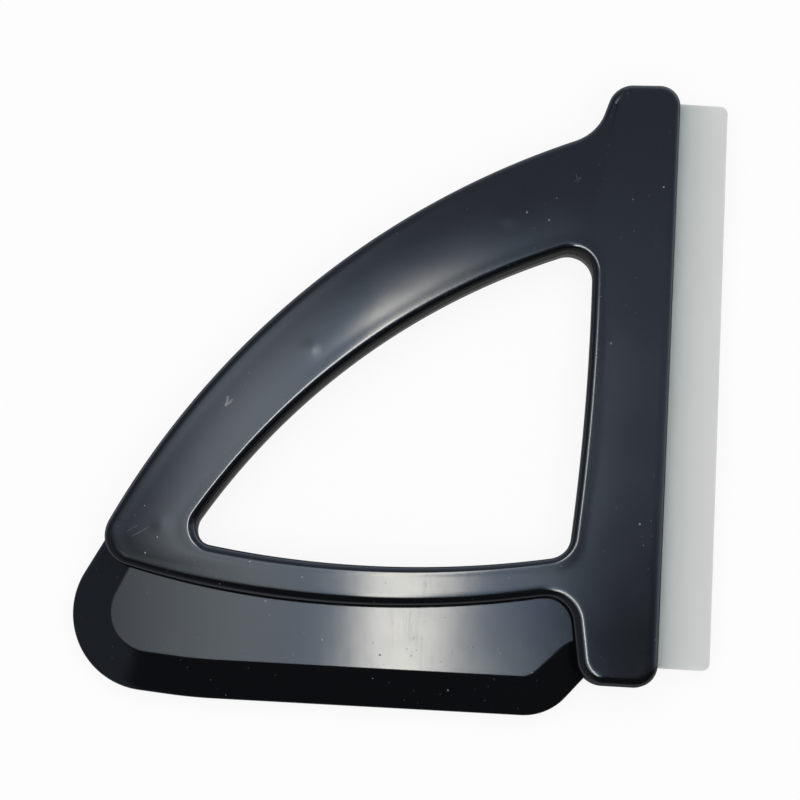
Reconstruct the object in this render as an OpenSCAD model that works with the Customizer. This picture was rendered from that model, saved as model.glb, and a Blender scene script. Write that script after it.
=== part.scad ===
// Ice scraper with a squeegee edge. It lies on its back: the bar and its blade run along Y on the
// right, the grip curves round on the left, and the scraper plate reaches out at the bottom.
// Inside the modules the bar's foot corner on the blade's side is the zero point of X and Y, and
// the parting plane of the two shells is the zero point of Z.

/* [Frame] */
// Width from the blade's side to the corner point of the grip's tip
frame_w = 171; // [160:0.1:190]
// Length of the bar that holds the blade
bar_l = 184.9; // [178:0.1:200]
// Width of the bar at its foot
bar_w = 21.6; // [20.5:0.1:24]
// Width of the bar's head
head_w = 20.3; // [18:0.1:22]
// How much lower the head's left corner lies than its right one
head_fall = 0.7; // [0:0.1:2]
// Width of the bar at the neck, where the grip starts
neck_w = 24.8; // [23:0.1:30]
// Distance from the top of the head down to the neck
neck_drop = 17; // [14:0.1:20]
// Height of the tip's corner point above the foot
tip_h = 30.4; // [28:0.1:33]
// Distance from the blade's side to the lowest point of the rail
dip_w = 118; // [100:0.5:130]
// Height of the rail's lowest point above the foot
dip_h = 19.8; // [17.5:0.1:21]
// Width of the bar where the rail joins it
shoulder_w = 26.2; // [25:0.1:29]
// Height of the corner between rail and bar above the foot
shoulder_h = 27.3; // [26:0.1:29]
// Corner radius of the foot on the blade's side
foot_r = 4.5; // [3.5:0.1:6]
// Corner radius of the foot on the plate's side
heel_r = 6.8; // [4:0.1:8]
// Corner radius of the head on the blade's side
head_r = 5.5; // [3.5:0.1:7]
// Corner radius of the head on the grip's side
crown_r = 7.2; // [4:0.1:7.5]
// Radius of the hollow at the neck
neck_r = 15; // [8:0.5:16]
// Corner radius of the grip's tip
tip_r = 9; // [6:0.1:11]
// Radius that blends the two stretches of the rail's lower edge
dip_r = 60; // [40:1:80]
// Radius of the hollow between rail and bar
shoulder_r = 8.7; // [5:0.1:10]
// Radius of the rounded edges of both shells
edge_r = 2; // [1:0.1:2.4]
// How much wider the front shell is at the parting plane than below its rounded edge
draft_w = 0.8; // [0:0.1:1]
// How much narrower the rear shell's back is than its parting plane
rear_draft_w = 0.2; // [0:0.1:0.8]

/* [Finger opening] */
// Width of the bar beside the top of the opening
post_w = 24.6; // [22:0.1:26]
// Width of the bar beside the foot of the opening
post_foot_w = 27.8; // [25:0.1:30]
// Width of the rail at the bar
rail_w = 10.6; // [10:0.1:14]
// Distance from the top of the head down to the opening's top corner
crown_drop = 50.7; // [46:0.1:54]
// Distance from the tip's corner point to the opening's left corner
tip_w = 24.9; // [22:0.1:30]
// Height of the opening's left corner above the tip's corner point
tip_rise = 4.6; // [4:0.1:7]
// Radius of the opening's lower corner at the bar
opening_foot_r = 7.7; // [5:0.1:9]
// Radius of the opening's top corner
opening_top_r = 7.5; // [5:0.1:9]
// Radius of the opening's left corner
opening_tip_r = 6.8; // [5:0.1:8]

/* [Shells] */
// Height of the front shell above the parting plane
front_t = 8; // [7.5:0.1:11]
// Depth of the rear shell below the parting plane
rear_t = 8; // [7.5:0.1:11]
// Thickness of the faces and side walls
wall_t = 2; // [1.6:0.1:2.4]
// Thickness of the wall behind the blade's bead
keeper_t = 1.6; // [1.2:0.1:1.8]
// Thickness of the ribs that press on the blade's root
rib_t = 1.4; // [1:0.1:3]
// Number of those ribs
rib_count = 9; // [5:1:11]
// Gap around the plate and the blade in their pockets
fit_gap = 0.1; // [0.05:0.01:0.2]

/* [Scraper plate] */
// Thickness of the plate
plate_t = 4; // [3:0.1:5]
// Thickness that is left at the plate's scraping edge
plate_edge_t = 0.8; // [0.5:0.1:1.5]
// Width of the bevel along the scraping edge
bevel_w = 11.6; // [8:0.1:12.5]
// How far the scraping edge stands below the bar's foot
plate_drop = 10.9; // [9:0.1:14]
// How far the corner point of the plate's left corner stands out past the tip's
flank_w = 20.1; // [18:0.1:22]
// How far that corner point lies below the bar's foot
flank_drop = 7.2; // [6:0.1:9]
// Radius of the plate's left corner
flank_r = 23.7; // [18:0.1:25]
// Distance from the blade's side to where the scraping edge starts to rise to the left
sag_w = 139.3; // [130:0.1:145]
// How much lower the scraping edge lies there than at its right end
sag_drop = 0.5; // [0:0.1:1]
// Radius that blends the two stretches of the scraping edge
sag_r = 170; // [100:1:200]
// How far the plate's left side runs in behind the tip's corner point
flank_tuck_w = 4.6; // [4:0.1:5]
// How far it runs up past that point
flank_tuck_h = 8.6; // [8:0.1:9.5]
// Distance from the blade's side to the scraping edge's right end
chin_w = 31.4; // [31:0.1:40]
// Radius of the plate's lower right corner
chin_r = 17.2; // [10:0.1:18]
// Distance from the blade's side to where the plate's edge goes under the bar
tuck_w = 19.9; // [19:0.1:20.5]
// Height above the foot of the plate's edge inside the bar
tuck_h = 2.6; // [2.4:0.1:3.5]
// Radius of the hollow where the plate's edge goes under the bar
tuck_r = 4; // [3:0.1:5]
// Width of the bevel there
tuck_bevel_w = 11; // [7:0.1:12]
// Height above the foot of the plate's hidden edge under the rail
ledge_h = 26.5; // [25.5:0.1:27]
// Distance from the blade's side to the end of the plate's lug
lug_end = 12; // [11.8:0.1:12.4]
// Height of the lug's upper edge above the foot
lug_h = 22; // [20:0.1:24]
// Reach of the ear around the screw in the tip
ear_w = 4.8; // [4.2:0.1:5.2]
// Small corner radius of the plate's hidden edges
hidden_r = 3; // [2.2:0.1:3.5]

/* [Squeegee blade] */
// How far the blade stands out of the bar at its foot end
blade_foot_reach = 16.6; // [12:0.1:25]
// How far the blade stands out of the bar at its head end
blade_head_reach = 15.2; // [12:0.1:25]
// Distance from the bar's foot to the blade's end
blade_foot_gap = 5.5; // [5:0.1:12]
// Distance from the bar's head to the blade's end
blade_head_gap = 4.7; // [4.5:0.1:12]
// Thickness of the blade where it leaves the bar
blade_t = 3; // [2.4:0.1:3.6]
// Thickness of the blade's lip
lip_t = 1.8; // [1:0.1:2.2]
// Corner radius of the lip
lip_r = 2.3; // [1:0.1:4]
// How deep the blade's root reaches into the bar
root_w = 9.4; // [9:0.1:9.6]
// Width of the bead along the root
bead_w = 4; // [3:0.1:5]
// Thickness of the bead
bead_t = 5; // [4:0.1:6]

/* [Screws] */
// Diameter of the screws' shanks
screw_d = 2.9; // [2.5:0.1:3.1]
// Length of the shanks below the heads
screw_l = 9; // [8:0.1:9.6]
// Diameter of the heads
head_d = 5.8; // [5:0.1:6]
// Height of the heads
head_t = 1.9; // [1.4:0.1:2.2]
// Depth of the counterbores in the rear shell
sink_t = 3.6; // [3:0.1:3.8]
// Length of the arms of the heads' cross recess
recess_l = 3.2; // [2.4:0.1:3.6]
// Width of those arms
recess_w = 0.8; // [0.6:0.1:1]
// Depth of the recess
recess_t = 1.1; // [0.8:0.1:1.2]
// Gap around the heads, and around the shanks in the rear shell and the plate
screw_gap = 0.4; // [0.3:0.1:0.5]
// Gap around the shanks in the front shell's bosses
pilot_gap = 0.05; // [0.02:0.01:0.1]
// Diameter of the front shell's bosses
boss_d = 7; // [6:0.1:8]
// Diameter of the rear shell's bosses
seat_d = 9.6; // [9.2:0.1:10]
// Distance of the grip's screws from the grip's outer edge
grip_inset = 14; // [12:0.1:15]
// Distance of the bar's screws from the blade's side
bar_inset = 16; // [15.8:0.1:16.6]
// Height of the foot's screw above the foot
foot_screw_h = 15.5; // [14.5:0.1:16.5]
// Height of the middle screw above the foot
mid_screw_h = 92; // [80:0.5:110]
// Distance from the top of the head down to the head's screw
head_screw_drop = 15; // [13:0.1:18]

/* [Hidden] */
$fn = 48;
overrun = 1.5;
clear_w = 0.6;
// How far each outline side bows out, as a share of its own length
grip_bow_share = 0.1027;
tip_bow_share = 0.043;
rail_bow_share = 0.038;
post_bow_share = 0.016;
hand_bow_share = 0.091;
floor_bow_share = 0.047;
// Where the grip's screws stand, as shares of the grip's outer side from the neck to the tip
grip_screw_shares = [0.176, 0.557, 0.916];
// Where the keeper ribs start and end, as shares of the bar's length
rib_span_share = [0.085, 0.93];
// Steps along each side and round the corner at its end. The opening's outline has as many
// points as the frame's has beside it, because strips of faces join the two.
frame_steps = [[10, 6], [1, 6], [1, 10], [24, 8], [10, 2], [14, 8], [1, 6], [1, 6]];
opening_steps = [[10, 24], [24, 8], [26, 22]];
plate_steps = [[6, 4], [16, 8], [6, 6], [4, 4], [2, 4], [4, 4], [12, 4], [2, 4], [2, 4], [4, 4], [6, 14]];
blade_steps = [[1, 8], [1, 8], [1, 8], [1, 8]];
edge_steps = 4;

// Outlines run counterclockwise. A row is a corner point, its radius and the bow of the side that
// leaves it. A plate row ends with the width of the bevel at its corner, and where that is below
// zero the bevel passes outside the plate.
frame_rows = [
    [0, 0, foot_r, 0],
    [0, bar_l, head_r, 0],
    [-head_w, bar_l - head_fall, crown_r, 0],
    [-neck_w, bar_l - neck_drop, neck_r, grip_bow_share],
    [-frame_w, tip_h, tip_r, tip_bow_share],
    [-dip_w, dip_h, dip_r, rail_bow_share],
    [-shoulder_w, shoulder_h, shoulder_r, 0],
    [-bar_w, 0, heel_r, 0]
];
opening_rows = [
    [-post_foot_w, shoulder_h + rail_w, opening_foot_r, post_bow_share],
    [-post_w, bar_l - crown_drop, opening_top_r, hand_bow_share],
    [tip_w - frame_w, tip_h + tip_rise, opening_tip_r, floor_bow_share]
];
ear = side_point(side(frame_rows, 3), grip_screw_shares[2], -grip_inset);
plate_rows = [
    [-frame_w - flank_w, -flank_drop, flank_r, 0, bevel_w],
    [-sag_w, -plate_drop - sag_drop, sag_r, 0, bevel_w],
    [-chin_w, -plate_drop, chin_r, 0, bevel_w],
    [-tuck_w, tuck_h, tuck_r, 0, tuck_bevel_w],
    [-lug_end, tuck_h, edge_r, 0, -clear_w],
    [-lug_end, lug_h, edge_r, 0, -clear_w],
    [-shoulder_w - shoulder_r, ledge_h, hidden_r, 0, -clear_w],
    [ear[0] + 1.6 * ear_w, ledge_h, hidden_r, 0, -clear_w],
    [ear[0] + ear_w, ear[1] + ear_w, hidden_r, 0, -clear_w],
    [ear[0] - ear_w, ear[1] + ear_w, hidden_r, 0, -clear_w],
    [flank_tuck_w - frame_w, tip_h + flank_tuck_h, bevel_w + clear_w, 0, bevel_w]
];

// One side of an outline: start, chord length, direction, outward normal and bow height
function side(rows, i) =
    let (
        a = [rows[i][0], rows[i][1]],
        b = [rows[(i + 1) % len(rows)][0], rows[(i + 1) % len(rows)][1]],
        d = (b - a) / norm(b - a)
    )
    [a, norm(b - a), d, [d[1], -d[0]], rows[i][3] * norm(b - a)];

// Radius of a bowed side's arc, and its half angle
function bow_radius(s) = (s[1] * s[1] / 4 + s[4] * s[4]) / (2 * s[4]);
function bow_angle(s) = asin(s[1] / 2 / bow_radius(s));

// Direction of travel at a share t of a side
function side_tangent(s, t) =
    s[4] == 0 ? s[2] :
    let (turn = (2 * t - 1) * bow_angle(s))
    cos(turn) * s[2] - sin(turn) * s[3];

// Point at a share t of a side, moved out by out
function side_point(s, t, out) =
    s[4] == 0 ? s[0] + t * s[1] * s[2] + out * s[3] :
    let (
        turn = (2 * t - 1) * bow_angle(s),
        r = bow_radius(s),
        centre = s[0] + s[1] / 2 * s[2] - (r - s[4]) * s[3]
    )
    centre + (r + out) * (sin(turn) * s[2] + cos(turn) * s[3]);

// How far a corner's rounding reaches along the two sides that meet at it
function setback(rows, i) =
    let (
        n = len(rows),
        before = side_tangent(side(rows, (i + n - 1) % n), 1),
        after = side_tangent(side(rows, i), 0)
    )
    rows[i][2] * tan(acos(max(-1, min(1, before * after))) / 2);

// Where the tangents at the two ends of a corner cross
function crossing(p, u, q, v) =
    let (k = u[0] * v[1] - u[1] * v[0])
    abs(k) < 1e-6 ? (p + q) / 2 :
    p + u * ((q[0] - p[0]) * v[1] - (q[1] - p[1]) * v[0]) / k;

// Point at a share t of a corner from p to q, a circular arc where the setbacks are equal
function corner_point(p, u, q, v, t) =
    let (
        w = cos(acos(max(-1, min(1, u * v))) / 2),
        c = crossing(p, u, q, v)
    )
    ((1 - t) * (1 - t) * p + 2 * w * t * (1 - t) * c + t * t * q)
    / ((1 - t) * (1 - t) + 2 * w * t * (1 - t) + t * t);

// All points of an outline, each followed by its bevel width where the rows give one
function outline(rows, steps) = [
    for (i = [0 : len(rows) - 1])
        let (
            n = len(rows),
            s = side(rows, i),
            next = side(rows, (i + 1) % n),
            t0 = setback(rows, i) / s[1],
            t1 = 1 - setback(rows, (i + 1) % n) / s[1],
            t2 = setback(rows, (i + 1) % n) / next[1],
            here = rows[i][4],
            there = rows[(i + 1) % n][4]
        )
        each concat(
            [for (k = [0 : steps[i][0]])
                let (t = k / steps[i][0], p = side_point(s, t0 + (t1 - t0) * t, 0))
                is_undef(here) ? p : [p[0], p[1], here + (there - here) * t]],
            [for (k = [1 : 1 : steps[i][1] - 1])
                let (
                    t = k / steps[i][1],
                    p = corner_point(side_point(s, t1, 0), side_tangent(s, t1),
                                     side_point(next, t2, 0), side_tangent(next, t2), t)
                )
                is_undef(here) ? p : [p[0], p[1], there]]
        )
];

// Outward unit normal at each point of a closed outline
function outward(loop) = [
    for (j = [0 : len(loop) - 1])
        let (
            n = len(loop),
            a = loop[(j + n - 1) % n],
            b = loop[(j + 1) % n],
            d = [b[0] - a[0], b[1] - a[1]] / norm([b[0] - a[0], b[1] - a[1]])
        )
        [d[1], -d[0]]
];

frame_line = outline(frame_rows, frame_steps);
frame_out = outward(frame_line);
opening_line = outline(opening_rows, opening_steps);
opening_out = outward(opening_line);
plate_line = outline(plate_rows, plate_steps);
plate_out = outward(plate_line);

// An outline moved out by out, flat or at a height
function flat_ring(line, out_dirs, out) = [
    for (j = [0 : len(line) - 1])
        [line[j][0] + out * out_dirs[j][0], line[j][1] + out * out_dirs[j][1]]
];
function ring(line, out_dirs, out, z) = [for (p = flat_ring(line, out_dirs, out)) [p[0], p[1], z]];

// The plate's outline drawn in by the bevel width of each point
function bevel_ring(z) = [
    for (j = [0 : len(plate_line) - 1])
        [
            plate_line[j][0] - plate_line[j][2] * plate_out[j][0],
            plate_line[j][1] - plate_line[j][2] * plate_out[j][1],
            z
        ]
];

// The blade's outline seen from the front, grown by grow at its root and its ends
function blade_line(grow) =
    let (low = blade_foot_gap - grow, high = bar_l - blade_head_gap + grow)
    outline([
        [-root_w - grow, low, lip_r / 4, 0],
        [blade_foot_reach, low, lip_r, 0],
        [blade_head_reach, high, lip_r, 0],
        [-root_w - grow, high, lip_r / 4, 0]
    ], blade_steps);

// The whole part's middle in X and Y
low_x = min([for (p = plate_line) p[0]]);
high_x = max([for (p = blade_line(0)) p[0]]);
low_y = min([for (p = plate_line) p[1]]);
high_y = max([for (p = flat_ring(frame_line, frame_out, draft_w)) p[1]]);
middle = [(low_x + high_x) / 2, (low_y + high_y) / 2];

screw_places = concat(
    [for (t = grip_screw_shares) side_point(side(frame_rows, 3), t, -grip_inset)],
    [
        [-bar_inset, foot_screw_h],
        [-bar_inset, mid_screw_h],
        [-bar_inset, bar_l - head_screw_drop]
    ]
);

// A closed solid whose section, a list of rings with equally many points, runs round as a tyre does
module ring_solid(rings) {
    n = len(rings[0]);
    m = len(rings);
    polyhedron(
        points = [for (r = rings) each r],
        faces = [
            for (i = [0 : m - 1], j = [0 : n - 1])
                let (
                    a = i * n + j,
                    b = i * n + (j + 1) % n,
                    c = ((i + 1) % m) * n + (j + 1) % n,
                    d = ((i + 1) % m) * n + j
                )
                each [[a, c, b], [a, d, c]]
        ]
    );
}

// One shell's face and side walls, from the parting plane up to depth, with rounded edges outside.
// It is base_out wider at the parting plane, and top_out wider below its rounded edges.
module shell_form(depth, base_out, top_out) {
    turns = [for (k = [0 : edge_steps]) 90 * k / edge_steps];
    ceiling = depth - wall_t;
    ring_solid(concat(
        [ring(frame_line, frame_out, base_out, 0)],
        [for (a = turns)
            ring(frame_line, frame_out, top_out - edge_r * (1 - cos(a)), depth - edge_r * (1 - sin(a)))],
        [for (a = turns)
            ring(opening_line, opening_out, edge_r * (1 - sin(a)) - top_out, depth - edge_r * (1 - cos(a)))],
        [ring(opening_line, opening_out, -base_out, 0)],
        [for (z = [0, ceiling]) ring(opening_line, opening_out, wall_t, z)],
        [for (z = [ceiling, 0]) ring(frame_line, frame_out, -wall_t, z)]
    ));
}

// Bosses under the screws, the wall behind the blade's bead and the ribs that press on its root
module shell_inside(depth, d) {
    reach = depth - wall_t / 2;
    keeper_x = -root_w - fit_gap - keeper_t;
    for (p = screw_places)
        translate([p[0], p[1], 0])
            cylinder(d = d, h = reach);
    translate([keeper_x, wall_t / 2, 0])
        cube([keeper_t, bar_l - wall_t, reach]);
    for (i = [0 : rib_count - 1])
        translate([
            keeper_x,
            bar_l * (rib_span_share[0] + (rib_span_share[1] - rib_span_share[0]) * i / (rib_count - 1)),
            0
        ])
            cube([-keeper_x - wall_t / 2, rib_t, reach]);
}

// One shell before its pockets and screw holes
module shell(depth, top_out, d) {
    shell_form(depth, draft_w, top_out);
    shell_inside(depth, d);
}

// The room that the plate and the blade take in the shells
module pockets() {
    plate_form(fit_gap);
    blade_form(fit_gap);
}

// The plate without its holes, grown by grow all round
module plate_form(grow) {
    top = plate_t / 2 + grow;
    fall = (plate_t - plate_edge_t) * (bevel_w + overrun) / bevel_w;
    difference() {
        translate([0, 0, -top])
            linear_extrude(height = 2 * top)
                polygon(flat_ring(plate_line, plate_out, grow));
        ring_solid([
            bevel_ring(top),
            ring(plate_line, plate_out, overrun, top - fall),
            ring(plate_line, plate_out, overrun, top + overrun),
            bevel_ring(top + overrun)
        ]);
    }
}

// The blade, grown by grow: its outline seen from the front, cut to its section
module blade_form(grow) {
    half = [bead_t, blade_t, lip_t] / 2 + [grow, grow, grow];
    step_x = bead_w - root_w + grow;
    intersection() {
        translate([0, 0, -bead_t])
            linear_extrude(height = 2 * bead_t)
                polygon(blade_line(grow));
        translate([0, bar_l, 0])
            rotate([90, 0, 0])
                linear_extrude(height = bar_l)
                    polygon([
                        [-root_w - grow, -half[0]],
                        [step_x, -half[0]],
                        [step_x, -half[1]],
                        [0, -half[1]],
                        [high_x, -half[2]],
                        [high_x, half[2]],
                        [0, half[1]],
                        [step_x, half[1]],
                        [step_x, half[0]],
                        [-root_w - grow, half[0]]
                    ]);
    }
}

// Front half of the frame, with blind holes for the screws in its bosses
module front_shell() {
    hole_l = screw_l + sink_t - rear_t + fit_gap;
    color([0.09, 0.1, 0.12])
        difference() {
            shell(front_t, 0, boss_d);
            pockets();
            for (p = screw_places)
                translate([p[0], p[1], -overrun])
                    cylinder(d = screw_d + 2 * pilot_gap, h = hole_l + overrun);
        }
}

// Rear half of the frame, with a counterbored hole for each screw
module rear_shell() {
    color([0.08, 0.09, 0.11])
        mirror([0, 0, 1])
            difference() {
                shell(rear_t, draft_w - rear_draft_w, seat_d);
                mirror([0, 0, 1])
                    pockets();
                for (p = screw_places)
                    translate([p[0], p[1], 0]) {
                        translate([0, 0, -overrun])
                            cylinder(d = screw_d + screw_gap, h = rear_t + overrun);
                        translate([0, 0, rear_t - sink_t])
                            cylinder(d = head_d + 2 * screw_gap, h = sink_t + overrun);
                    }
            }
}

// Bevelled scraper plate, with a hole for the tip's screw and one for the foot's
module scraper_plate() {
    color([0.1, 0.11, 0.12])
        difference() {
            plate_form(0);
            for (p = [screw_places[2], screw_places[3]])
                translate([p[0], p[1], -plate_t])
                    cylinder(d = screw_d + screw_gap, h = 2 * plate_t);
        }
}

// Soft blade with a bead along its root
module squeegee_blade() {
    color([0.8, 0.82, 0.81])
        blade_form(0);
}

// One screw, its head's seat at height 0 and its shank pointing up
module screw() {
    edge_t = head_t / 3;
    difference() {
        rotate_extrude()
            polygon([
                [0, -head_t],
                [head_d / 2 - edge_t, -head_t],
                [head_d / 2, edge_t - head_t],
                [head_d / 2, 0],
                [screw_d / 2, 0],
                [screw_d / 2, screw_l - screw_d],
                [screw_d / 6, screw_l],
                [0, screw_l]
            ]);
        for (a = [0, 90])
            rotate([0, 0, a])
                translate([-recess_l / 2, -recess_w / 2, -head_t - overrun])
                    cube([recess_l, recess_w, recess_t + overrun]);
    }
}

// All the screws that hold the two shells together
module shell_screws() {
    color([0.62, 0.63, 0.65])
        for (p = screw_places)
            translate([p[0], p[1], sink_t - rear_t])
                screw();
}

translate([-middle[0], -middle[1], rear_t]) {
    front_shell();
    rear_shell();
    scraper_plate();
    squeegee_blade();
    shell_screws();
}
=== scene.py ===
from math import acos, asin, cos, erf, exp, pi, radians, sin, sqrt, tan

import bpy
from mathutils import Matrix, Vector


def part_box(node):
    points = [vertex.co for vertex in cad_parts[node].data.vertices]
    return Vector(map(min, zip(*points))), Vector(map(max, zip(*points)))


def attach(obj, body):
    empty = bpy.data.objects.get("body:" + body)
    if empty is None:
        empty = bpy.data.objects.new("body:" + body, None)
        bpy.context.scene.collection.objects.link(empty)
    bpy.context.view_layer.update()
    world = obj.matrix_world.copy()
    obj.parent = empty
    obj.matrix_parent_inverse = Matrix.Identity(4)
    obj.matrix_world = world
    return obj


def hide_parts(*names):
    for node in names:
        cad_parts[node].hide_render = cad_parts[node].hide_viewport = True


# Looks of an ice scraper that lies on its back on a pale table, under a strip light and a window

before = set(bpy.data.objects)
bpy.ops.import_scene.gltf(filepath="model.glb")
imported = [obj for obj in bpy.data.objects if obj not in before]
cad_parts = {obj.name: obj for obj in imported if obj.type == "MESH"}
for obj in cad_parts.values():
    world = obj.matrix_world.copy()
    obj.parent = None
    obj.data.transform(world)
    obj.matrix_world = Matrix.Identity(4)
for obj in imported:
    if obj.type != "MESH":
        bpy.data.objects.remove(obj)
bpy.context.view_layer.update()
print("frame loaded, nodes:", sorted(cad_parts))


def deselectAll():
    for thing in bpy.context.selected_objects:
        thing.select_set(False)


deselectAll()


# Outlines

def sideOf(rows, i):  # start, length, direction, outward normal and bow height of side i
    start = Vector(rows[i][:2])
    end = Vector(rows[(i + 1) % len(rows)][:2])
    length = (end - start).length
    way = (end - start) / length
    return start, length, way, Vector((way.y, -way.x)), rows[i][3] * length


def arcOf(side):  # radius and half angle of a bowed side
    start, length, way, out, bow = side
    radius = (length * length / 4 + bow * bow) / (2 * bow)
    return radius, asin(length / 2 / radius)


def alongSide(side, share, move=0.0):
    start, length, way, out, bow = side
    if not bow:
        return start + share * length * way + move * out
    radius, half = arcOf(side)
    turn = (2 * share - 1) * half
    centre = start + length / 2 * way - (radius - bow) * out
    return centre + (radius + move) * (sin(turn) * way + cos(turn) * out)


def headingOf(side, share):
    start, length, way, out, bow = side
    if not bow:
        return way
    turn = (2 * share - 1) * arcOf(side)[1]
    return cos(turn) * way - sin(turn) * out


def angleBetween(a, b):
    return acos(max(-1.0, min(1.0, a.dot(b))))


def setbackAt(rows, i):  # how far the rounding of corner i reaches along its two sides
    before = headingOf(sideOf(rows, i - 1), 1)
    after = headingOf(sideOf(rows, i), 0)
    return rows[i][2] * tan(angleBetween(before, after) / 2)


def crossingOf(p, u, q, v):
    k = u.cross(v)
    return (p + q) / 2 if abs(k) < 1e-6 else p + u * (q - p).cross(v) / k


def roundCorner(p, u, q, v, t):  # a circular arc where both setbacks are alike
    w = cos(angleBetween(u, v) / 2)
    c = crossingOf(p, u, q, v)
    a, b, d = (1 - t) ** 2, 2 * w * t * (1 - t), t * t
    return (a * p + b * c + d * q) / (a + b + d)


# Points of a closed outline. A row is a corner point, its radius, the bow of the side after it as a
# share of that side, and a last value, such as a bevel's width, which is blended along the sides.
def outlineOf(rows, steps, finer):
    points, lasts = [], []
    count = len(rows)
    for i in range(count):
        j = (i + 1) % count
        side, following = sideOf(rows, i), sideOf(rows, j)
        t0 = setbackAt(rows, i) / side[1]
        t1 = 1 - setbackAt(rows, j) / side[1]
        t2 = setbackAt(rows, j) / following[1]
        here, there = rows[i][-1], rows[j][-1]
        sideSteps, cornerSteps = steps[i][0] * finer, steps[i][1] * finer
        for k in range(sideSteps + 1):
            t = k / sideSteps
            points.append(alongSide(side, t0 + (t1 - t0) * t))
            lasts.append(here + (there - here) * t)
        ends = alongSide(side, t1), headingOf(side, t1), alongSide(following, t2), headingOf(following, t2)
        for k in range(1, cornerSteps):
            points.append(roundCorner(*ends, k / cornerSteps))
            lasts.append(there)
    return points, lasts


def outwardOf(points):
    normals = []
    for i, point in enumerate(points):
        way = (points[(i + 1) % len(points)] - points[i - 1]).normalized()
        normals.append(Vector((way.y, -way.x)))
    return normals


# Meshes

def objectOf(name):
    piece = bpy.context.object
    piece.name = name
    piece.data.name = name
    return piece


# A grid is wrapped round so that its lines follow the given rings of points. With capped, the first
# and the last ring are closed with flat faces, and otherwise they are joined.
def wrapRings(name, rings, capped=False):
    count, turns = len(rings[0]), len(rings)
    across = turns - 1 if capped else turns
    deselectAll()
    bpy.ops.mesh.primitive_grid_add(x_subdivisions=across, y_subdivisions=count)
    piece = objectOf(name)
    for i in range(count + 1):
        for j in range(across + 1):
            piece.data.vertices[i * (across + 1) + j].co = rings[j % turns][i % count]
    bpy.ops.object.mode_set(mode="EDIT")
    bpy.ops.mesh.select_all(action="SELECT")
    bpy.ops.mesh.remove_doubles(threshold=1e-7)
    if capped:
        bpy.ops.mesh.fill_holes(sides=0)
    bpy.ops.mesh.select_all(action="SELECT")
    bpy.ops.mesh.normals_make_consistent(inside=False)
    bpy.ops.object.mode_set(mode="OBJECT")
    return piece


def selectInEdit(piece, kind, wanted):
    bpy.ops.object.mode_set(mode="OBJECT")
    for group in (piece.data.vertices, piece.data.edges, piece.data.polygons):
        for item in group:
            item.select = False
    for item in getattr(piece.data, kind):
        item.select = wanted(item)
    bpy.ops.object.mode_set(mode="EDIT")


def carve(piece, cutters):  # cuts are made with modifiers that are applied one by one
    for cutter in cutters:
        deselectAll()
        piece.select_set(True)
        bpy.context.view_layer.objects.active = piece
        cut = piece.modifiers.new("cut", "BOOLEAN")
        cut.operation, cut.solver, cut.object = "DIFFERENCE", "MANIFOLD", cutter
        bpy.ops.object.modifier_apply(modifier=cut.name)
        bpy.data.objects.remove(cutter)


def smooth(piece, degrees):
    deselectAll()
    piece.select_set(True)
    bpy.context.view_layer.objects.active = piece
    bpy.ops.object.shade_smooth_by_angle(angle=radians(degrees))


def dress(piece, finish, slot, *nodes):
    piece.data.materials.clear()
    piece.data.materials.append(finish)
    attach(piece, "root")
    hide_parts(*nodes)
    print("finished", piece.name, len(piece.data.polygons), "faces")


# The part's own zero point: the bar's foot corner on the blade's side, at the parting plane

shells = {
    "draft": 0.0008,  # how far the outer wall stands out from the outline
    "backDraft": 0.0002,  # the same at the rear half's back
    "backRim": 0.0004,  # how far the opening's wall leans out there
    "height": 0.008,
    "faceDrop": 0.00006,  # room for the crown and the raised marks
    "rimInset": 0.0024,  # how far outside the opening's outline the face ends
    "edgeSteps": 16,
    "gentleBend": 0.06,  # how far a rounded edge bends evenly, in radians, before it turns down
    "lateBend": 2.4,  # how late it turns down
    "faceSteps": 30,
    "seamWidth": 0.00012,  # the small chamfer at the parting plane
    "seamHeight": 0.00018,
    "crown": 1.9,  # how fast the grip's face tips outwards, in radians a metre
    "levelAt": 0.0068,  # where it is level, from the opening's edge
    "rimTip": 0.012,  # how far the face tips up towards its edges, in radians
    "rimPlace": 0.0012,  # how far from its edges that is, and over what width
    "rimSpread": 0.0016,
    "evenReach": 24,  # how many points the face's changes along the outline are spread over
    "finer": 8,  # how many points each step of an outline has
}
shellLow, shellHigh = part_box("front_shell")
zero = Vector((shellHigh.x - shells["draft"], shellLow.y + shells["draft"]))
parting = shellLow.z

barWidth, barLength, frameWidth = 0.0216, 0.1849, 0.171
tipHeight, shoulderWidth, shoulderHeight = 0.0304, 0.0262, 0.0273
# The last values: how much of the grip's crown the face has there, how far inside the outline it ends,
# and how far its lines swing to the right, so that they don't cross the foot's left edge
frameRows = [
    (-0.0003, 0, 0.0060, 0, Vector((0, 0.0030, 0))),
    (-0.0009, barLength - 0.0013, 0.0055, 0, Vector((0, 0.0019, 0))),
    (-0.0197, barLength - 0.0020, 0.0072, 0, Vector((0, 0.0017, 0))),
    (-0.0247, barLength - 0.0176, 0.015, 0.1013, Vector((0.6, 0.0014, 0))),
    (0.0004 - frameWidth, tipHeight, 0.009, 0.026, Vector((1, 0.0022, 0))),
    (-0.118, 0.0205, 0.35, 0.038, Vector((0, 0.0044, 0))),
    (-shoulderWidth, shoulderHeight - 0.0001, 0.0087, 0, Vector((0, 0.0030, 0.4))),
    (-barWidth - 0.0005, 0, 0.0075, 0, Vector((0, 0.0034, 0.8))),
]
openingRows = [  # the last value is how far the wall stands into the opening
    (-0.0276, shoulderHeight + 0.0101, 0.0077, 0.016, -0.0001),
    (-0.0246, barLength - 0.0509, 0.0075, 0.093, 0.0),
    (0.0259 - frameWidth, tipHeight + 0.0048, 0.0066, 0.0485, 0.0006),
]
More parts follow.
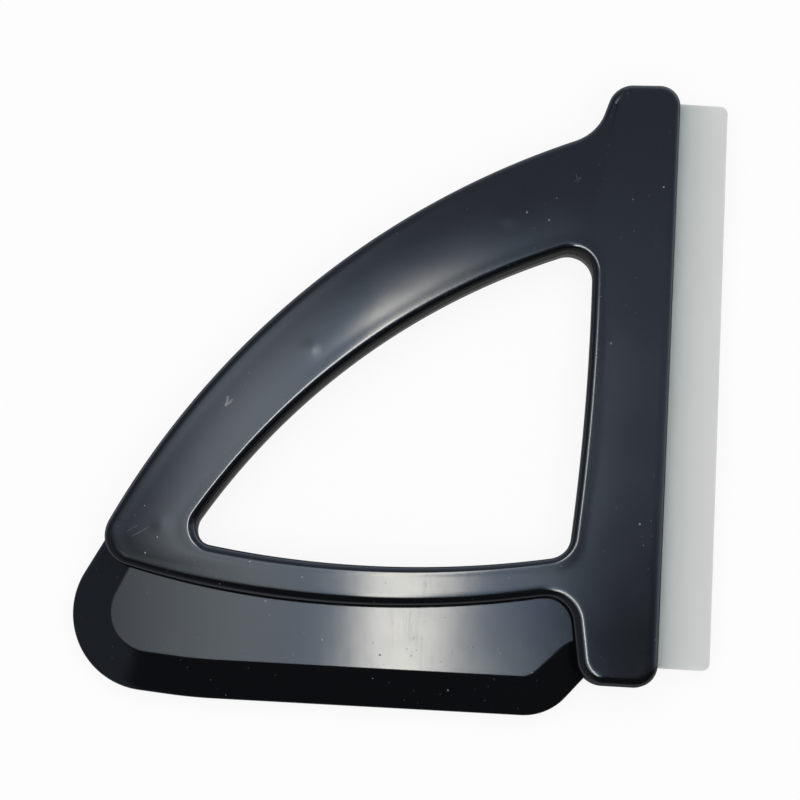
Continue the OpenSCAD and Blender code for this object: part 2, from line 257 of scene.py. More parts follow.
frameSteps = [(10, 6), (1, 6), (1, 10), (24, 8), (10, 2), (14, 12), (2, 4), (1, 3)]
openingSteps = [(10, 24), (24, 8), (26, 22)]


def evened(values, reach):  # a running mean along a closed outline
    count, width = len(values), 2 * reach + 1
    return [sum((values[(i + k - reach) % count] for k in range(width)), 0 * values[0]) / width
            for i in range(count)]


frameLine, faceShares = outlineOf(frameRows, frameSteps, shells["finer"])
faceShares = evened(evened(faceShares, shells["evenReach"]), shells["evenReach"])
openingLine, leans = outlineOf(openingRows, openingSteps, shells["finer"])
frameOut, openingOut = outwardOf(frameLine), outwardOf(openingLine)
print("outlines drawn,", len(frameLine), "and", len(openingLine), "points")

gripSide, gripDepth, barDepth = 3, 0.014, 0.016  # the grip is the frame's fourth side
grip = sideOf(frameRows, gripSide)
screwPlaces = [alongSide(grip, share, -gripDepth) for share in (0.176, 0.557, 0.916)]
screwPlaces += [Vector((-barDepth, height)) for height in (0.0155, 0.092, barLength - 0.015)]

marks = {"radius": 0.0024, "height": 0.00003, "count": 3}


def markAt(point):  # the face stands up a little over each of the grip's screw bosses
    gaps = [(point - place).length / marks["radius"] for place in screwPlaces[:marks["count"]]]
    return marks["height"] * sum(exp(-gap * gap) for gap in gaps)


def faceTip(gap, width, crown):  # how far the face tips outwards, gap metres from the opening's edge
    size = shells
    inner, outer = ((g - size["rimPlace"]) / size["rimSpread"] for g in (gap, width - gap))
    lift = exp(-inner * inner) - crown * exp(-outer * outer)
    return crown * size["crown"] * (gap - size["levelAt"]) + size["rimTip"] * lift


def faceFall(gap, width, crown):  # how much lower than at the opening's edge the face is there
    size = shells

    def lifted(g):
        place, spread = size["rimPlace"], size["rimSpread"]
        return spread * sqrt(pi) / 2 * (erf((g - place) / spread) + erf(place / spread))

    rims = lifted(gap) - crown * (lifted(width) - lifted(width - gap))
    return crown * size["crown"] * gap * (gap / 2 - size["levelAt"]) + size["rimTip"] * rims


# Runs and falls of an edge that starts with the face's tip and bends ever faster
def roundedEdge(tip, reach):
    count, gentle = shells["edgeSteps"], shells["gentleBend"]
    shares = [(k + 0.5) / count for k in range(count)]
    tips = [tip + gentle * t + (pi / 2 - tip - gentle) * t ** shells["lateBend"] for t in shares]
    scale = reach / sum(cos(t) for t in tips)
    places = [(0.0, 0.0)]
    for t in tips:
        places.append((places[-1][0] + scale * cos(t), places[-1][1] + scale * sin(t)))
    return places


def shellRings(side, backSide):  # 1 and 0 for the front half, -1 and 1 for the rear half
    size = shells
    rings = []
    shaped = 0 if backSide else 1
    top = size["height"] - shaped * size["faceDrop"]
    crowns = [shaped * share.x for share in faceShares]

    def level(points, heights):
        rings.append([
            Vector((p.x + zero.x, p.y + zero.y, parting + side * z)) for p, z in zip(points, heights)])

    def shifted(line, out, gaps):
        return [p + gap * n for p, n, gap in zip(line, out, gaps)]

    def flat(line, out, gaps, z):
        level(shifted(line, out, gaps), [z] * len(line))

    edge = shifted(frameLine, frameOut, [-share.y for share in faceShares])
    rim = shifted(openingLine, openingOut, [size["rimInset"]] * len(openingLine))
    widths = [(b - a).length for a, b in zip(edge, rim)]
    falls = [faceFall(width, width, crown) for width, crown in zip(widths, crowns)]
    feet = [share.y + size["draft"] * (1 - backSide) + size["backDraft"] * backSide for share in faceShares]
    outerEdges = [roundedEdge(faceTip(width, width, crown), foot)
                  for width, crown, foot in zip(widths, crowns, feet)]
    runs = [size["rimInset"] + reach - size["backRim"] * backSide for reach in leans]
    innerEdges = [roundedEdge(-faceTip(0, width, crown), run)
                  for width, crown, run in zip(widths, crowns, runs)]

    flat(frameLine, frameOut, [size["draft"] - size["seamWidth"]] * len(frameLine), 0)
    flat(frameLine, frameOut, [size["draft"]] * len(frameLine), size["seamHeight"])
    for k in range(size["edgeSteps"], -1, -1):  # the outer rounded edge, from the wall up to the face
        level([p + places[k][0] * n for p, n, places in zip(edge, frameOut, outerEdges)],
              [top - fall - places[k][1] for fall, places in zip(falls, outerEdges)])
    for k in range(1, size["faceSteps"]):
        t = 1 - k / size["faceSteps"]
        bulge = (1 - t) * t * t
        ring = [b.lerp(a, t) + Vector((bulge * share.z * width, 0))
                for a, b, share, width in zip(edge, rim, faceShares, widths)]
        if shaped:
            falls = [faceFall(t * width, width, crown) - markAt(q)
                     for q, width, crown in zip(ring, widths, crowns)]
        level(ring, [top - fall for fall in falls])
    for k in range(size["edgeSteps"] + 1):  # the opening's rounded edge
        level([p - places[k][0] * n for p, n, places in zip(rim, openingOut, innerEdges)],
              [top - places[k][1] for places in innerEdges])
    flat(openingLine, openingOut, [-reach for reach in leans], size["seamHeight"])
    flat(openingLine, openingOut, [size["seamWidth"] - reach for reach in leans], 0)
    return rings


# Materials

class Reckoned:  # one socket of a node, with which sums can be written
    def __init__(self, finish, socket):
        self.finish, self.socket = finish, socket

    def reckon(self, operation, *values):
        return self.finish.maths(operation, *values)

    def __add__(self, other):
        return self.reckon("ADD", self, other)

    def __radd__(self, other):
        return self.reckon("ADD", other, self)

    def __sub__(self, other):
        return self.reckon("SUBTRACT", self, other)

    def __rsub__(self, other):
        return self.reckon("SUBTRACT", other, self)

    def __mul__(self, other):
        return self.reckon("MULTIPLY", self, other)

    def __rmul__(self, other):
        return self.reckon("MULTIPLY", other, self)

    def __truediv__(self, other):
        return self.reckon("DIVIDE", self, other)

    def __rtruediv__(self, other):
        return self.reckon("DIVIDE", other, self)

    def __lt__(self, other):
        return self.reckon("LESS_THAN", self, other)


class Finish:  # the nodes of one material, or of the world
    def __init__(self, owner):
        owner.use_nodes = True
        self.owner, self.tree = owner, owner.node_tree
        self.tree.nodes.clear()

    def node(self, kind, settings=None, sockets=None, output=0):
        made = self.tree.nodes.new(kind)
        for name, value in (settings or {}).items():
            setattr(made, name, value)
        for name, value in (sockets or {}).items():
            if isinstance(value, Reckoned):
                self.tree.links.new(value.socket, made.inputs[name])
            else:
                made.inputs[name].default_value = value
        return Reckoned(self, made.outputs[output]) if made.outputs else made

    def maths(self, operation, *values, **settings):
        settings["operation"] = operation
        return self.node("ShaderNodeMath", settings, dict(enumerate(values)))

    def vector(self, operation, first, second, output=0):
        settings = {"operation": operation}
        return self.node("ShaderNodeVectorMath", settings, {0: first, 1: second}, output)

    def scaled(self, vector, amount):
        return self.node("ShaderNodeVectorMath", {"operation": "SCALE"}, {0: vector, "Scale": amount})

    def position(self):
        return self.node("ShaderNodeTexCoord", output="Object")

    def blend(self, factor, first, second):  # a mix of two colours
        return self.node("ShaderNodeMix", {"data_type": "RGBA"}, {0: factor, 6: first, 7: second}, 2)

    def place(self, turn=0.0, stretch=(1, 1, 1)):  # the object's own coordinates, turned and stretched
        sockets = {"Vector": self.position(), "Rotation": (0, 0, turn), "Scale": stretch}
        return self.node("ShaderNodeMapping", {}, sockets)

    def noise(self, scale, detail=2.0, turn=0.0, stretch=(1, 1, 1)):
        return self.node("ShaderNodeTexNoise", {}, {
            "Vector": self.place(turn, stretch), "Scale": scale, "Detail": detail})

    def step(self, value, low, high):  # 0 below low, 1 above high
        return self.node("ShaderNodeMapRange", {"interpolation_type": "SMOOTHSTEP"}, {
            "Value": value, "From Min": low, "From Max": high})

    def specks(self, scale, size, share):  # small dots in a share of the cells
        settings = {"feature": "F1"}
        sockets = {"Vector": self.place(), "Scale": scale}
        gap = self.node("ShaderNodeTexVoronoi", settings, sockets, "Distance")
        shade = self.node("ShaderNodeTexVoronoi", settings, sockets, "Color")
        pick = self.node("ShaderNodeSeparateColor", {}, {0: shade})
        return (1 - self.step(gap, size * 0.5, size)) * (pick < share)

    def scratches(self, scale, turn, thin):  # long thin lines along one direction
        streak = self.noise(scale, 3.0, turn, (1, 0.03, 1))
        return 1 - self.step(self.maths("ABSOLUTE", streak - 0.5), 0, thin)

    def principled(self, **sockets):
        names = {name.replace("_", " "): value for name, value in sockets.items()}
        return self.node("ShaderNodeBsdfPrincipled", {}, names)

    def bump(self, height, strength, distance):
        sockets = {"Height": height, "Strength": strength, "Distance": distance}
        return self.node("ShaderNodeBump", {}, sockets)

    def upright(self):  # 1 on faces that lie flat, 0 on standing walls
        normal = self.node("ShaderNodeNewGeometry", output="Normal")
        z = self.node("ShaderNodeSeparateXYZ", {}, {0: normal}, "Z")
        return self.maths("ABSOLUTE", z)

    def spotOnFace(self):
        return self.vector("MULTIPLY", self.position(), (1, 1, 0))

    def dot(self, place, size):  # one small round mark, placed from the zero corner
        middle = (place[0] + zero.x, place[1] + zero.y, 0)
        gap = self.vector("DISTANCE", self.spotOnFace(), middle, "Value")
        return 1 - self.step(gap, size * 0.4, size)

    def stroke(self, start, end, size):  # one short scratch between two places
        way = Vector((end[0] - start[0], end[1] - start[1], 0))
        first = (start[0] + zero.x, start[1] + zero.y, 0)
        away = self.vector("SUBTRACT", self.spotOnFace(), first)
        share = self.vector("DOT_PRODUCT", away, way / way.length_squared, "Value")
        near = self.scaled(way, self.maths("ADD", share, 0.0, use_clamp=True))
        gap = self.vector("DISTANCE", away, near, "Value")
        return 1 - self.step(gap, size * 0.4, size)

    def show(self, shader):
        self.node("ShaderNodeOutputMaterial", {}, {"Surface": shader})
        return self.owner


def newFinish(name):
    return Finish(bpy.data.materials.new(name))


glossBlack = {
    "colour": (0.0032, 0.0036, 0.0042, 1),
    "dust": (0.16, 0.165, 0.17, 1),
    "roughness": 0.075,
    "smudge": 0.03,  # how much rougher smudges are
    "smudgeScale": 26, "patchScale": 45, "dustScale": 60,
    "grain": ((2600, 2.0, 0.14), (120, 1.0, 1.3), (480, 2.0, 0.3)),  # scale, detail and height
    "dotSize": 0.00035,
    "reliefStrength": 0.35, "relief": 0.00001,
    "dullRoughness": 0.5,  # the standing walls come from a duller part of the mould
    "dullColour": (0.005, 0.0055, 0.006, 1),
    "wallFrom": 0.35, "wallTo": 0.8,  # how upright a face is where the wall's finish begins
}
faceStrokes = [  # a V-shaped nick and fine scratches on the grip: two ends and a width
    ((-0.1339, 0.0769), (-0.1335, 0.0794), 0.0005),
    ((-0.1339, 0.0769), (-0.1322, 0.0786), 0.0005),
]
faceScores = [
    ((-0.0313, 0.1546), (-0.0306, 0.1521), 0.0003),
    ((-0.0297, 0.1534), (-0.0315, 0.1522), 0.0003),
    ((-0.1591, 0.0356), (-0.1544, 0.0386), 0.0002),
    ((-0.1607, 0.0370), (-0.1581, 0.0387), 0.0002),
]
faceDots = [
    (-0.1234, 0.0299), (-0.1074, 0.0262), (-0.1551, 0.0308), (-0.1518, 0.0357), (-0.0069, 0.0480),
    (-0.0181, 0.1026), (-0.0457, 0.1418), (-0.0388, 0.1397), (-0.0042, 0.1520),
]
plateDots = [(-0.1006, 0.0081), (-0.0552, 0.0085), (-0.0827, 0.0045), (-0.0617, -0.0048), (-0.1184, 0.0187)]


def blackPlastic(name, seed, wallGloss, strokes=(), scores=(), dots=()):
    mat = newFinish(name)
    look = glossBlack
    smudge = mat.step(mat.noise(look["smudgeScale"] + seed, 4.0), 0.42, 0.72)
    scuffs = mat.scratches(900, 0.5 + seed, 0.004)
    scuffs = scuffs * mat.step(mat.noise(look["patchScale"], 2.0), 0.6, 0.75) * 0.2
    pits = mat.specks(300, 0.07, 0.16) + mat.specks(700, 0.11, 0.2) * 0.5
    for start, end, size in scores:
        scuffs = scuffs + mat.stroke(start, end, size) * 2
    dust = mat.specks(430, 0.075, 0.22) * mat.step(mat.noise(look["dustScale"] + seed, 2.0), 0.46, 0.6)
    dust = dust + mat.specks(210, 0.045, 0.12) + mat.specks(380, 0.12, 0.3) * 0.12
    for start, end, size in strokes:
        dust = dust + mat.stroke(start, end, size) * 0.6
    for place in dots:
        dust = dust + mat.dot(place, look["dotSize"])
    dust = mat.maths("MINIMUM", dust, 1.0)
    grain, waves, ripples = (mat.noise(scale, detail) * height for scale, detail, height in look["grain"])
    relief = grain + waves + ripples + dust * 2.0 - scuffs * 0.8 - pits * 3.0
    bump = mat.bump(relief, look["reliefStrength"], look["relief"])
    polished = mat.principled(
        Base_Color=mat.blend(dust, look["colour"], look["dust"]),
        Roughness=look["roughness"] + look["smudge"] * smudge + 0.10 * scuffs + 0.3 * dust,
        IOR=1.5,
        Normal=bump,
    )
    dull = mat.principled(
        Base_Color=mat.blend(smudge, look["colour"], look["dullColour"]),
        Roughness=look["dullRoughness"],
        IOR=1.5,
        Specular_IOR_Level=wallGloss,
        Normal=bump,
    )
    wall = 1 - mat.step(mat.upright(), look["wallFrom"], look["wallTo"])
    return mat.show(mat.node("ShaderNodeMixShader", {}, {0: wall, 1: polished, 2: dull}))


silicone = {
    "root": (0.45, 0.495, 0.49, 1),  # darker beside the bar: painted shade, where the bar shades the blade and its thicker silicone lets less light through
    "lip": (0.60, 0.61, 0.60, 1),
    "shadeStart": 0.002, "shadeWidth": 0.014,
    "cloudScale": 35, "cloud": 0.12,
    "roughness": 0.38,
    "milk": 0.8, "depth": 0.004,  # how much light goes in, and how far
    "relief": 0.00002,
}


def milkySilicone(name):
    mat = newFinish(name)
    look = silicone
    across = mat.node("ShaderNodeSeparateXYZ", {}, {0: mat.position()}, "X")
    cloud = mat.noise(look["cloudScale"], 2.0)
    dust = mat.specks(260, 0.05, 0.10)
    # the blade turns darker towards the bar: painted shade of the bar and of the thicker silicone, with a
    # random cloudy tone added
    barShadeAndCloud = mat.step(across, zero.x - look["shadeStart"], zero.x + look["shadeWidth"])
    barShadeAndCloud = barShadeAndCloud + look["cloud"] * (cloud - 0.5)
    drawn = mat.noise(500, 2.0, 0.0, (1, 0.05, 1)) * 0.5  # fine lines along the blade
    shader = mat.principled(
        Base_Color=mat.blend(barShadeAndCloud, look["root"], look["lip"]),
        Roughness=look["roughness"] + 0.08 * cloud,
        IOR=1.41,
        Subsurface_Weight=look["milk"],
        Subsurface_Radius=(1, 1, 1),
        Subsurface_Scale=look["depth"],
        Normal=mat.bump(drawn + dust, 0.2, look["relief"]),
    )
    return mat.show(shader)


zinc = {"grey": (0.5, 0.51, 0.53, 1), "pale": (0.66, 0.66, 0.64, 1), "roughness": 0.26, "relief": 0.00002}


def zincSteel(name):
    mat = newFinish(name)
    look = zinc
    brushed = mat.noise(1800, 3.0, 0.4, (1, 0.1, 1))
    stain = mat.noise(300, 3.0)
    shader = mat.principled(
        Base_Color=mat.blend(stain, look["grey"], look["pale"]),
        Metallic=1.0,
        Roughness=look["roughness"] + 0.2 * brushed,
        Normal=mat.bump(brushed, 0.3, look["relief"]),
    )
    return mat.show(shader)


frameFinish = blackPlastic("frameBlack", 0.0, 0.02, faceStrokes, faceScores, faceDots)
backFinish = blackPlastic("backBlack", 1.5, 0.08)
plateFinish = blackPlastic("plateBlack", 3.0, 0.05, dots=plateDots)
bladeFinish = milkySilicone("milkySilicone")
screwFinish = zincSteel("zincSteel")
print("finishes mixed")


# Scraper plate

plate = {
    "drop": 0.0109, "bevel": 0.0116, "tuckBevel": 0.011, "hiddenBevel": 0.0108, "hidden": -0.0006,
    "thick": 0.004, "edgeThick": 0.0008, "edgeRound": 0.0003, "roundShare": 0.3, "crease": 0.0004,
    "margin": 0.0003, "gap": 0.0001, "ledge": 0.0265, "lug": 0.012, "lugHeight": 0.022, "ear": 0.0048,
    "earFoot": 1.6, "bevelSteps": 6, "finer": 4,
}
plateSteps = [(6, 4), (16, 8), (6, 6), (4, 4), (2, 4), (4, 4), (12, 4), (2, 4), (2, 4), (4, 4), (6, 14)]
tipEar = screwPlaces[2]
plateRows = [
    (-frameWidth - 0.02005, -0.0072, 0.0237, 0, plate["bevel"]),
    (-0.1393, -plate["drop"] - 0.0005, 0.17, 0, plate["bevel"]),
    (-0.0314, -plate["drop"], 0.0172, 0, plate["bevel"]),
    (-0.0199, 0.0026, 0.004, 0, plate["tuckBevel"]),
    (-plate["lug"], 0.0026, 0.002, 0, plate["hidden"]),
    (-plate["lug"], plate["lugHeight"], 0.002, 0, plate["hidden"]),
    (-shoulderWidth - 0.0087, plate["ledge"], 0.003, 0, plate["hidden"]),
    (tipEar.x + plate["earFoot"] * plate["ear"], plate["ledge"], 0.003, 0, plate["hidden"]),
    (tipEar.x + plate["ear"], tipEar.y + plate["ear"], 0.003, 0, plate["hidden"]),
    (tipEar.x - plate["ear"], tipEar.y + plate["ear"], 0.003, 0, plate["hidden"]),
    (0.0046 - frameWidth, tipHeight + 0.0086, 0.0122, 0, plate["hiddenBevel"]),
]
plateLine, bevelWidths = outlineOf(plateRows, plateSteps, plate["finer"])
plateOut = outwardOf(plateLine)


def plateRings(grow):
    size = plate
    top, low = size["thick"] / 2 + grow, -size["thick"] / 2 - grow
    slope = (size["thick"] - size["edgeThick"]) / size["bevel"]
    edge = 0.0 if grow else size["edgeRound"]
    mid = size["roundShare"] * edge
    rings = []

    def ring(inset, level):
        points = []
        for p, n, width in zip(plateLine, plateOut, bevelWidths):
            gap, z = inset(width), level(max(0.0, width))
            points.append(Vector((p.x + zero.x - gap * n.x, p.y + zero.y - gap * n.y, parting + z)))
        rings.append(points)

    def across(t):  # an inset between the edge and the crease
        return lambda w: max(edge - grow, t * (w - size["crease"]))

    ring(lambda w: edge - grow + size["margin"], lambda w: low)
    ring(lambda w: edge - grow, lambda w: low)
    if edge:
        ring(lambda w: mid, lambda w: low + mid)
    ring(lambda w: -grow, lambda w: low + edge)
    ring(lambda w: -grow, lambda w: top - slope * w - edge)
    if edge:
        ring(lambda w: mid, lambda w: top - slope * max(0.0, w - mid) - mid)
        ring(lambda w: edge, lambda w: top - slope * max(0.0, w - edge))
    for k in range(1, size["bevelSteps"]):
        inset = across(k / size["bevelSteps"])
        ring(inset, lambda w: top - slope * max(0.0, w - inset(w)))
    for share in (1, 0.6, 0.2, -0.2, -0.6, -1):  # the soft crease between the bevel and the flat top
        soft = size["crease"] * share
        fall = slope * size["crease"] * ((1 + share) / 2) ** 2
        ring(lambda w: max(edge - grow, w - soft), lambda w: top - fall * (w > size["crease"]))
    ring(lambda w: max(edge - grow, w + size["crease"]) + size["margin"], lambda w: top)
    return rings


scraperEdge = wrapRings("scraper_edge", plateRings(0), capped=True)
smooth(scraperEdge, 40)
dress(scraperEdge, plateFinish, "plate_plastic", "scraper_plate")


# Squeegee blade

blade = {
    "footReach": 0.0166, "headReach": 0.0152, "footGap": 0.0055, "headGap": 0.0047,
    "thick": 0.003, "lipThick": 0.0018, "lipRadius": 0.0023, "root": 0.0094,
    "bead": 0.004, "beadThick": 0.005, "softEdge": 0.00025,
}


def makeBlade(name, grow):
    size = blade
    low, high = size["footGap"] - grow, barLength - size["headGap"] + grow
    deselectAll()
    bpy.ops.mesh.primitive_cube_add(
        size=1,
        location=(zero.x - size["root"] + size["bead"] / 2, zero.y + (low + high) / 2, parting),
        scale=(size["bead"] + 2 * grow, high - low, size["beadThick"] + 2 * grow),
    )
    bpy.ops.object.transform_apply(location=True, rotation=True, scale=True)
    piece = objectOf(name)

    def growOut(reach, thick):
        bpy.ops.object.mode_set(mode="OBJECT")
        far = max(v.co.x for v in piece.data.vertices)
        selectInEdit(piece, "polygons", lambda f: f.normal.x > 0.9 and f.center.x > far - 1e-5)
        bpy.ops.mesh.extrude_region_move(TRANSFORM_OT_translate={"value": (reach, 0, 0)})
        bpy.ops.object.mode_set(mode="OBJECT")
        for v in piece.data.vertices:
            if v.select:
                v.co.z = parting + (thick / 2 + grow) * (1 if v.co.z > parting else -1)
        bpy.ops.object.mode_set(mode="EDIT")

    growOut(0.0, size["thick"])
    growOut(size["root"] - size["bead"] - grow, size["thick"])
    growOut(size["footReach"], size["lipThick"])
    bpy.ops.object.mode_set(mode="OBJECT")
    for v in piece.data.vertices:
        if v.co.x > zero.x + size["footReach"] / 2:
            v.co.x = zero.x + (size["footReach"] if v.co.y < zero.y + barLength / 2 else size["headReach"])
    if grow:
        return piece
    tip = zero.x + size["headReach"] / 2

    def corners(edge):
        a, b = (piece.data.vertices[i].co for i in edge.vertices)
        return min(a.x, b.x) > tip and abs(a.y - b.y) < 1e-5

    bpy.ops.object.mode_set(mode="EDIT")
    bpy.ops.mesh.select_mode(type="EDGE")
    selectInEdit(piece, "edges", corners)
    bpy.ops.mesh.bevel(offset=size["lipRadius"], segments=10, profile=0.5, affect="EDGES")

    def rims(edge):
        a, b = (piece.data.vertices[i].co for i in edge.vertices)
        onTop = (a.z - parting) * (b.z - parting) > 0
        outside = min(a.x, b.x) > zero.x - 1e-5 and not (abs(a.x - b.x) < 1e-5 and abs(a.x - zero.x) < 1e-5)
        return onTop and outside

    selectInEdit(piece, "edges", rims)
    bpy.ops.mesh.bevel(offset=size["softEdge"], segments=3, profile=0.5, affect="EDGES")
    bpy.ops.mesh.select_all(action="SELECT")
    bpy.ops.mesh.remove_doubles(threshold=1e-6)
    bpy.ops.mesh.normals_make_consistent(inside=False)
    bpy.ops.object.mode_set(mode="OBJECT")
    return piece


wiper = makeBlade("squeegee_lip", 0)
smooth(wiper, 35)
dress(wiper, bladeFinish, "blade_silicone", "squeegee_blade")


# Screws

screw = {
    "shank": 0.0029, "length": 0.009, "head": 0.0058, "headHeight": 0.0019, "sink": 0.0036,
    "slotLength": 0.0032, "slotWidth": 0.0008, "slotDepth": 0.0011, "slotTaper": (0.55, 0.8, 1),
    "point": 0.35, "rim": 0.3, "rimRound": 0.12, "flat": 0.42, "slope": 0.9, "clear": 0.0004,
    "turn": 0.7, "sides": 48,
}


def cylinder(name, x, y, low, high, diameter):
    deselectAll()
    bpy.ops.mesh.primitive_cylinder_add(
        vertices=screw["sides"], radius=diameter / 2, depth=high - low, location=(x, y, (low + high) / 2))
    bpy.ops.object.transform_apply(location=True, rotation=True, scale=True)
    return objectOf(name)


def makeScrew(name):
    size = screw
    piece = cylinder(name, 0, 0, -size["headHeight"], 0, size["head"])
    bpy.ops.object.mode_set(mode="EDIT")
    bpy.ops.mesh.select_mode(type="FACE")
    selectInEdit(piece, "polygons", lambda f: f.normal.z < -0.9)
    bpy.ops.mesh.inset(thickness=size["headHeight"] * size["rim"])
    bpy.ops.mesh.bevel(offset=size["headHeight"] * size["rimRound"], segments=3, affect="EDGES")
    selectInEdit(piece, "polygons", lambda f: f.normal.z > 0.9)
    bpy.ops.mesh.inset(thickness=(size["head"] - size["shank"]) / 2)
    for rise in (size["length"] - size["shank"], size["shank"]):
        bpy.ops.mesh.extrude_region_move(TRANSFORM_OT_translate={"value": (0, 0, rise)})
    bpy.ops.transform.resize(value=(size["point"], size["point"], 1), center_override=(0, 0, 0))
    bpy.ops.object.mode_set(mode="OBJECT")
    for v in piece.data.vertices:  # the head's rim slopes up to its flat
        radius = Vector((v.co.x, v.co.y)).length
        if v.co.z < -size["headHeight"] / 2 and radius > size["head"] * size["flat"]:
            v.co.z += (radius - size["head"] * size["flat"]) * size["slope"]
    arms = []
    for turn in (0, 1):
        deselectAll()
        bpy.ops.mesh.primitive_cube_add(
            size=1, location=(0, 0, -size["headHeight"]),
            scale=(size["slotLength"], size["slotWidth"], 2 * size["slotDepth"]))
        arm = objectOf("arm")
        bpy.ops.object.transform_apply(location=True, rotation=True, scale=True)
        bpy.ops.object.mode_set(mode="EDIT")
        bpy.ops.mesh.select_mode(type="FACE")
        selectInEdit(arm, "polygons", lambda f: f.normal.z > 0.9)
        bpy.ops.transform.resize(value=size["slotTaper"], center_override=(0, 0, 0))
        bpy.ops.object.mode_set(mode="OBJECT")
        if turn:
            arm.data.transform(Matrix.Rotation(pi / 2, 4, "Z"))
        arms.append(arm)
    carve(piece, arms)
    smooth(piece, 35)
    return piece


lastScrew = makeScrew("screw")
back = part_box("rear_shell")[0].z
seat = back + screw["sink"]
for number, spot in enumerate(screwPlaces, 1):
    turned = Matrix.Translation((spot.x + zero.x, spot.y + zero.y, seat))
    turned = turned @ Matrix.Rotation(screw["turn"] * number, 4, "Z")
    each = lastScrew
    if number < len(screwPlaces):
        each = lastScrew.copy()
        each.data = lastScrew.data.copy()
        bpy.context.scene.collection.objects.link(each)
    each.name = f"screw_{number}"
    each.data.name = each.name
    each.data.transform(turned)
    dress(each, screwFinish, "screw_steel", "shell_screws")


# Shells

def cutters():  # room for the plate and the blade between the halves
    room = plate["gap"]
    return [wrapRings("plateRoom", plateRings(room), capped=True), makeBlade("bladeRoom", room)]


frontHalf = wrapRings("front_half", shellRings(1, 0))
carve(frontHalf, cutters())
smooth(frontHalf, 32)
dress(frontHalf, frameFinish, "frame_plastic", "front_shell")

rearHalf = wrapRings("rear_half", shellRings(-1, 1))
holes = cutters()
overrun = 0.001
for spot in screwPlaces:
    x, y = spot.x + zero.x, spot.y + zero.y
    headRoom, shankRoom = screw["head"] + 2 * screw["clear"], screw["shank"] + screw["clear"]
    holes.append(cylinder("sinkHole", x, y, back - overrun, seat, headRoom))
    holes.append(cylinder("shankHole", x, y, back, parting + overrun, shankRoom))
carve(rearHalf, holes)
smooth(rearHalf, 32)
dress(rearHalf, backFinish, "frame_plastic", "rear_shell")


# Table, camera and light

shot = {
    "lens": 108.86, "sensor": 36,
    "aim": (-0.08147, 0.08375),  # from the zero corner
    "standOff": (0.01485, -0.10469, 0.7425),
    "roll": 3.4,
}
aim = Vector((zero.x + shot["aim"][0], zero.y + shot["aim"][1], 0))


def placeCamera():
    look = -Vector(shot["standOff"]).normalized()
    right = look.cross(Vector((0, 1, 0))).normalized()
    up = right.cross(look)
    turn = radians(shot["roll"])
    across = right * cos(turn) + up * sin(turn)
    above = up * cos(turn) - right * sin(turn)
    bpy.ops.object.camera_add()
    camera = objectOf("camera")
    camera.data.lens, camera.data.sensor_width = shot["lens"], shot["sensor"]
    place = aim + Vector(shot["standOff"])
    camera.matrix_world = Matrix.Translation(place) @ Matrix((across, above, -look)).transposed().to_4x4()
    bpy.context.scene.camera = camera


page = {
    "width": 8, "level": -0.0002, "colour": (0.8, 0.8, 0.8, 1),
    "white": 0.88,  # how much of it is plain white where it is seen, and the rest shows the shadow
}


def makeTable():
    deselectAll()
    bpy.ops.mesh.primitive_plane_add(size=page["width"], location=(0, 0, page["level"]))
    table = objectOf("table")
    bpy.ops.object.transform_apply(location=True)
    mat = newFinish("paleTable")
    straight = mat.node("ShaderNodeLightPath", output="Is Camera Ray")
    glossy = mat.node("ShaderNodeLightPath", output="Is Glossy Ray")
    through = mat.node("ShaderNodeLightPath", output="Is Transmission Ray")
    seen = mat.maths("MAXIMUM", mat.maths("MAXIMUM", straight, glossy), through)
    paper = mat.node("ShaderNodeBsdfDiffuse", {}, {"Color": page["colour"]})
    glow = mat.node("ShaderNodeEmission", {}, {"Color": (1, 1, 1, 1), "Strength": 1.0})
    mixed = mat.node("ShaderNodeMixShader", {}, {0: seen * page["white"], 1: paper, 2: glow})
    table.data.materials.append(mat.show(mixed))


studio = {
    "fillPower": 34.0, "fillWidth": 2.4, "fillHeight": 1.6, "roomLevel": 0.25,
    "strip": (21.5, 20.6, 18.0),  # a warm strip light over the part
    "stripPlace": -0.0125, "stripWidth": 0.0178, "stripEnd": (0.162, 0.195),
    "window": (1.25, 1.85, 2.7),  # a cooler window round it
    "windowLeft": (-0.072, -0.05), "windowRight": (0.028, 0.068), "windowEnd": (0.13, 0.24),
    "wall": (2.3, 2.57, 2.78),  # a grey wall to the left of it
    "wallPlace": -0.07, "wallWidth": 0.069,
    "room": (0.92, 1.1, 1.45), "roomFloor": 0.02, "farLevel": 0.2,
    "roomBands": [(0.16, -0.25, 0.04), (0.42, 0.05, 0.12), (-0.17, 0.19, 0.26)],  # amount, start and end
    "near": (-0.3, -0.12), "far": (-0.42, -0.2),  # it is darker before the near edge and past the far one
    "rightBand": (0.4, 0.25, 1.5), "aheadBand": (0.7, 0.3, 1.6), "horizonBand": (1.8, 3.6),
    "leastHeight": 0.05,
    "horizon": (0.42, 0.44, 0.47),  # what faces mirror when they are seen from low down
}


def areaLight(name, width, height, power):
    bpy.ops.object.light_add(type="AREA", location=(aim.x, aim.y, height))
    lamp = bpy.context.object
    lamp.name = name
    lamp.data.shape, lamp.data.size = "SQUARE", width
    lamp.data.energy = power
    lamp.visible_glossy = False
    lamp.visible_camera = False


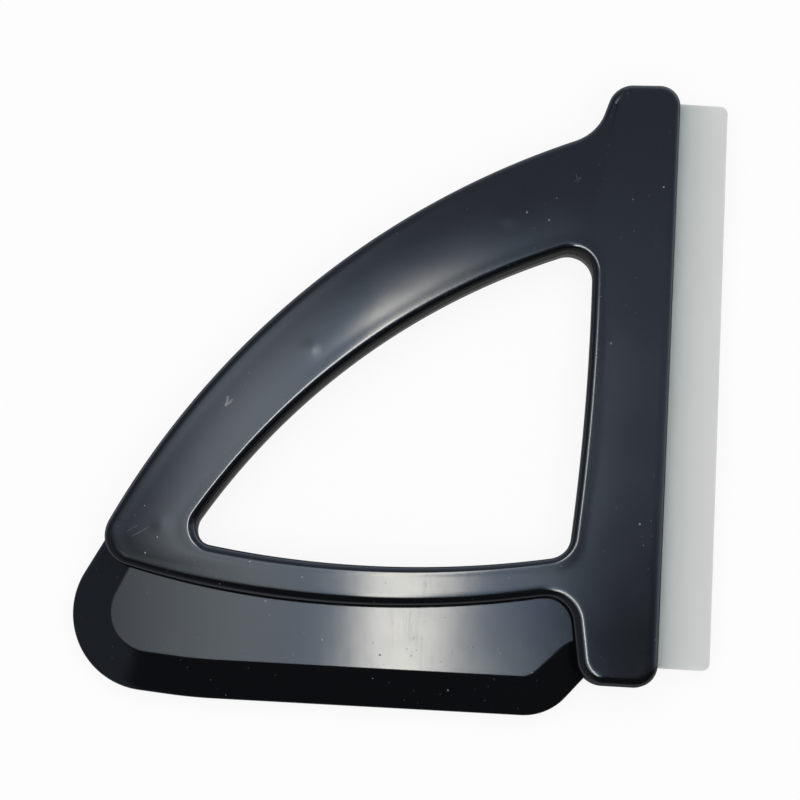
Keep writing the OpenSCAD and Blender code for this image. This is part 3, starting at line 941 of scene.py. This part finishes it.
def lightStudio():
    size = studio
    areaLight("fill", size["fillWidth"], size["fillHeight"], size["fillPower"])
    sky = Finish(bpy.context.scene.world or bpy.data.worlds.new("studio"))
    bpy.context.scene.world = sky.owner
    way = sky.node("ShaderNodeTexCoord", output="Generated")
    parts = [sky.node("ShaderNodeSeparateXYZ", {}, {0: way}, axis) for axis in "XYZ"]
    high = sky.maths("MAXIMUM", parts[2], size["leastHeight"])
    right, ahead = parts[0] / high, parts[1] / high

    def bump(place, width, sharp=False):
        gap = (right - place) / width
        gap = gap * gap * gap * gap if sharp else gap * gap
        return sky.maths("EXPONENT", 0 - gap)

    def band(along, amount, low, high):
        return amount * sky.step(along, low, high)

    near = sky.step(ahead, *size["near"])
    far = 1 - sky.step(right, *size["far"])
    dimmed = near * (1 - sky.step(ahead, *size["windowEnd"]))
    edge = sky.step(right, *size["windowLeft"])
    strip = near * bump(size["stripPlace"], size["stripWidth"], sharp=True)
    strip = strip * (1 - sky.step(ahead, *size["stripEnd"]))
    window = edge * (1 - sky.step(right, *size["windowRight"])) * dimmed
    wall = (1 - edge) * bump(size["wallPlace"], size["wallWidth"]) * dimmed
    room = sum(band(ahead, *each) for each in size["roomBands"])
    room = size["roomFloor"] + size["farLevel"] * far + (1 - far) * room
    room = room + band(right, *size["rightBand"]) * near + band(ahead, *size["aheadBand"])
    spread = sky.maths("SQRT", right * right + ahead * ahead)
    horizon = sky.step(spread, *size["horizonBand"])
    shine = sky.scaled(size["room"], room)
    for colour, amount in (("strip", strip), ("window", window), ("wall", wall), ("horizon", horizon)):
        shine = sky.vector("ADD", shine, sky.scaled(size[colour], amount))
    glossy = sky.node("ShaderNodeLightPath", output="Is Glossy Ray")
    seen = sky.node("ShaderNodeLightPath", output="Is Camera Ray")
    level = size["roomLevel"]
    colour = sky.blend(seen, sky.blend(glossy, (level, level, level, 1), shine), (1, 1, 1, 1))
    light = sky.node("ShaderNodeBackground", {}, {"Color": colour})
    sky.node("ShaderNodeOutputWorld", {}, {"Surface": light})


makeTable()
placeCamera()
lightStudio()
bpy.context.scene.view_settings.view_transform = "Standard"
